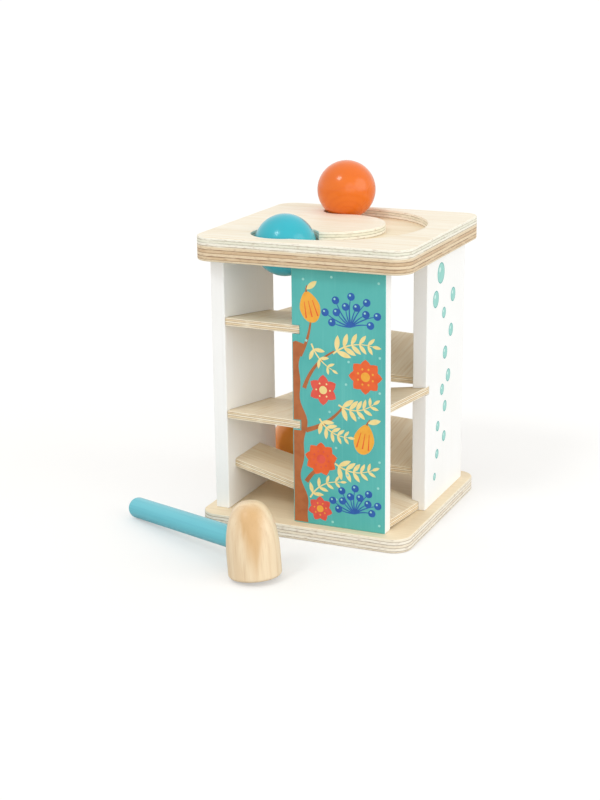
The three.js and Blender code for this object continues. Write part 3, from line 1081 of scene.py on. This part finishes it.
def bubbles():
    """Plain rising bubbles on the right wall, each a rim, a pale middle and a spot of shine."""
    rim = 0.7
    rising = [  # distance along the wall, height and diameter
        (12, 190, 16), (1, 172, 13), (41, 168, 11), (20, 158, 8.6), (37, 141, 10.2),
        (24, 126, 10.2), (32, 106, 10.2), (18, 98, 8.8), (25, 83, 8.8), (9, 71, 8),
        (24, 59, 8.4), (8, 49, 7.4), (3, 32, 6),
    ]
    return [[
        (dot(y, z, across / 2, 40), "rim_ink"),
        (dot(y, z, across / 2 - rim, 40), "foam_ink"),
        (dot(y - across * 0.15, z + across * 0.17, across * 0.12, 16), "shine_ink"),
    ] for y, z, across in rising]


# Balls and hammer


def balls():
    """Three painted balls, each where its CAD node is."""
    bands = 48
    profile = []
    for band in range(bands + 1):
        angle = -math.pi / 2 + math.pi * band / bands
        radius = 0 if band in (0, bands) else ball_radius * math.cos(angle)
        profile.append((radius, ball_radius * math.sin(angle)))
    for colour in ("turquoise", "orange", "amber"):
        low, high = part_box(f"{colour}_ball")
        name, coat = f"{colour}_ball", f"{colour}_paint"
        centre = Matrix.Translation((low + high) / 2)
        shape = lathe(profile, turned_steps)
        ball = piece_from(f"{colour}_sphere", shape, coat, name, centre)
        ball.data.shade_smooth()
        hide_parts(name)


def handle_profile(socket, grow):
    """From the bottom of the socket to the rounded end. grow makes it the drill for the socket."""
    radius = handle_radius + grow
    profile = [(0, head_radius - socket - grow), (radius, head_radius - socket - grow)]
    profile.append((radius, handle_reach - handle_rounding))
    for angle in quarter(8):
        inset = handle_rounding * (1 - math.cos(angle))
        profile.append((radius - inset, handle_reach - handle_rounding * (1 - math.sin(angle))))
    profile.append((0, handle_reach))
    return profile


def head_profile():
    """A flat end with a rounded rim, straight up to the waist, then a tall blunt crown."""
    profile = [(0, 0), (head_radius - head_rounding, 0)]
    for angle in quarter(6):
        profile.append((head_radius - head_rounding * (1 - math.sin(angle)),
                        head_rounding * (1 - math.cos(angle))))
    profile.append((head_radius, head_waist))
    for angle in quarter(32)[:-1]:
        crown = head_waist + (head_height - head_waist) * math.sin(angle)
        profile.append((head_radius * math.cos(angle) ** head_crown, crown))
    profile.append((0, head_height))
    return profile


def hammer():
    """The loose hammer: a head with a socket drilled across it, and the handle in the socket."""
    stance = hammer_stance()
    lying = stance @ Matrix.Translation((0, 0, handle_height / 1000))
    lying = lying @ Matrix.Rotation(math.pi / 2, 4, "Y")

    def turned(name, profile, steps, place, finish):
        shape = lathe(profile, steps)
        bmesh.ops.transform(shape, matrix=place, verts=shape.verts)
        return piece_from(name, shape, finish, "hammer")

    head = turned("mallet_head", head_profile(), turned_steps, stance, "head_wood")
    bore = handle_profile(handle_socket, fit)
    drill = turned("socket_drill", bore, handle_steps, lying, "head_wood")
    bpy.context.scene.collection.objects.unlink(drill)
    cut(head, drill)
    bpy.data.objects.remove(drill)
    flush(head, 40)
    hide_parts("hammer_head")
    bar = handle_profile(handle_socket - fit, 0)
    handle = turned("mallet_handle", bar, handle_steps, lying, "handle_paint")
    flush(handle, 40)
    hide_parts("hammer_handle")


def fasteners():
    """The screws and dowels keep their CAD shape and get their finish."""
    for name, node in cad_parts.items():
        for kind, finish in (("base_screw", "screw_steel"), ("top_dowel", "dowel_wood")):
            if name.startswith(kind):
                for held in node.material_slots:
                    held.link = "OBJECT"
                    held.material = finishes[finish]


def on_front(x, z, lift):
    """A point on the front panel's face."""
    return x, -outer_plane - lift, z


def on_right(y, z, lift):
    """A point on the right wall's face."""
    return outer_plane + lift, y, z


base_board()
lower_top_board()
upper_top_board()
hole_ring()
planks()
panels()
printed("front_print", front_print(), on_front)
printed("bubble_print", bubbles(), on_right)
balls()
hammer()
fasteners()


# Floor, light and camera


room_light = 0.86
room_tint = (1, 0.98, 0.94, 1)
lamp_tint = (0.96, 0.99, 1.0)
floor_lift = 0.365


def floor():
    """A pale floor that the camera sees as plain white and that still takes the shadow."""
    finish = Finish("studio_floor", roughness=0.9, specular_ior_level=0.0, emission_strength=1.0)
    cloud = finish.noise(finish.place(), 3.0)
    finish.set("Base Color", finish.mix(cloud, paint(206, 206, 206), paint(209, 209, 209)))
    seen = finish.node("ShaderNodeLightPath", output="Is Camera Ray")
    lift = (floor_lift, floor_lift, floor_lift, 1)
    finish.set("Emission Color", finish.mix(seen, (0, 0, 0, 1), lift))
    mesh = bpy.data.meshes.new("studio_floor")
    reach, gap = 30.0, 0.0001
    corners = [(x * reach, y * reach, -gap) for x, y in ((-1, -1), (1, -1), (1, 1), (-1, 1))]
    mesh.from_pydata(corners, [], [(0, 1, 2, 3)])
    mesh.materials.append(finish.material)
    obj = put("studio_floor", mesh)


def lamp(name, toward, strength, softness):
    """A broad distant light that shines from the given direction."""
    data = bpy.data.lights.new(name, "SUN")
    data.energy, data.angle, data.color = strength, math.radians(softness), lamp_tint
    put(name, data).rotation_euler = Vector(toward).to_track_quat("Z", "Y").to_euler()


def studio():
    """A room that is seen as white and lights the tower slightly warm and dim, and three broad,
    slightly cool lamps."""
    world = bpy.data.worlds.new("studio")
    bpy.context.scene.world = world
    world.use_nodes = True
    tree = world.node_tree
    tree.nodes.clear()
    rays = tree.nodes.new("ShaderNodeLightPath")
    seen = rays.outputs["Is Camera Ray"]
    for kind in ("Is Glossy Ray", "Is Transmission Ray"):
        either = tree.nodes.new("ShaderNodeMath")
        either.operation = "MAXIMUM"
        tree.links.new(seen, either.inputs[0])
        tree.links.new(rays.outputs[kind], either.inputs[1])
        seen = either.outputs[0]
    choice = tree.nodes.new("ShaderNodeMixShader")
    tree.links.new(seen, choice.inputs[0])
    for place, tint, strength in ((1, room_tint, room_light), (2, (1, 1, 1, 1), 1.0)):
        background = tree.nodes.new("ShaderNodeBackground")
        background.inputs["Color"].default_value = tint
        background.inputs["Strength"].default_value = strength
        tree.links.new(background.outputs[0], choice.inputs[place])
    output = tree.nodes.new("ShaderNodeOutputWorld")
    tree.links.new(choice.outputs[0], output.inputs[0])
    lamp("key", (-0.3, -0.8, 1.0), 0.54, 14)
    lamp("side", (1.0, -0.1, 0.3), 0.86, 50)
    lamp("fill", (0.75, -1.0, 0.3), 0.36, 40)


def camera():
    """The photograph's view: where the camera stands, where it points and how far it is zoomed."""
    place, heading, dip, roll = (0.450, -1.090, 0.429), -24.0, 16.2, -0.65
    focal_pixels, image_height, sensor = 1578, 800, 36
    heading, dip, roll = map(math.radians, (heading, dip, roll))
    ahead = Vector((math.sin(heading) * math.cos(dip), math.cos(heading) * math.cos(dip),
                    -math.sin(dip)))
    level = Vector((math.cos(heading), -math.sin(heading), 0))
    up = level.cross(ahead)
    across = math.cos(roll) * level + math.sin(roll) * up
    above = -math.sin(roll) * level + math.cos(roll) * up
    data = bpy.data.cameras.new("photo_camera")
    data.sensor_width = data.sensor_height = sensor
    data.lens = focal_pixels * sensor / image_height
    turn = Matrix((across, above, -ahead)).transposed().to_4x4()
    obj = put("photo_camera", data)
    obj.matrix_world = Matrix.Translation(place) @ turn
    bpy.context.scene.camera = obj


floor()
studio()
camera()
bpy.context.scene.view_settings.view_transform = "Standard"

bpy.context.view_layer.update()
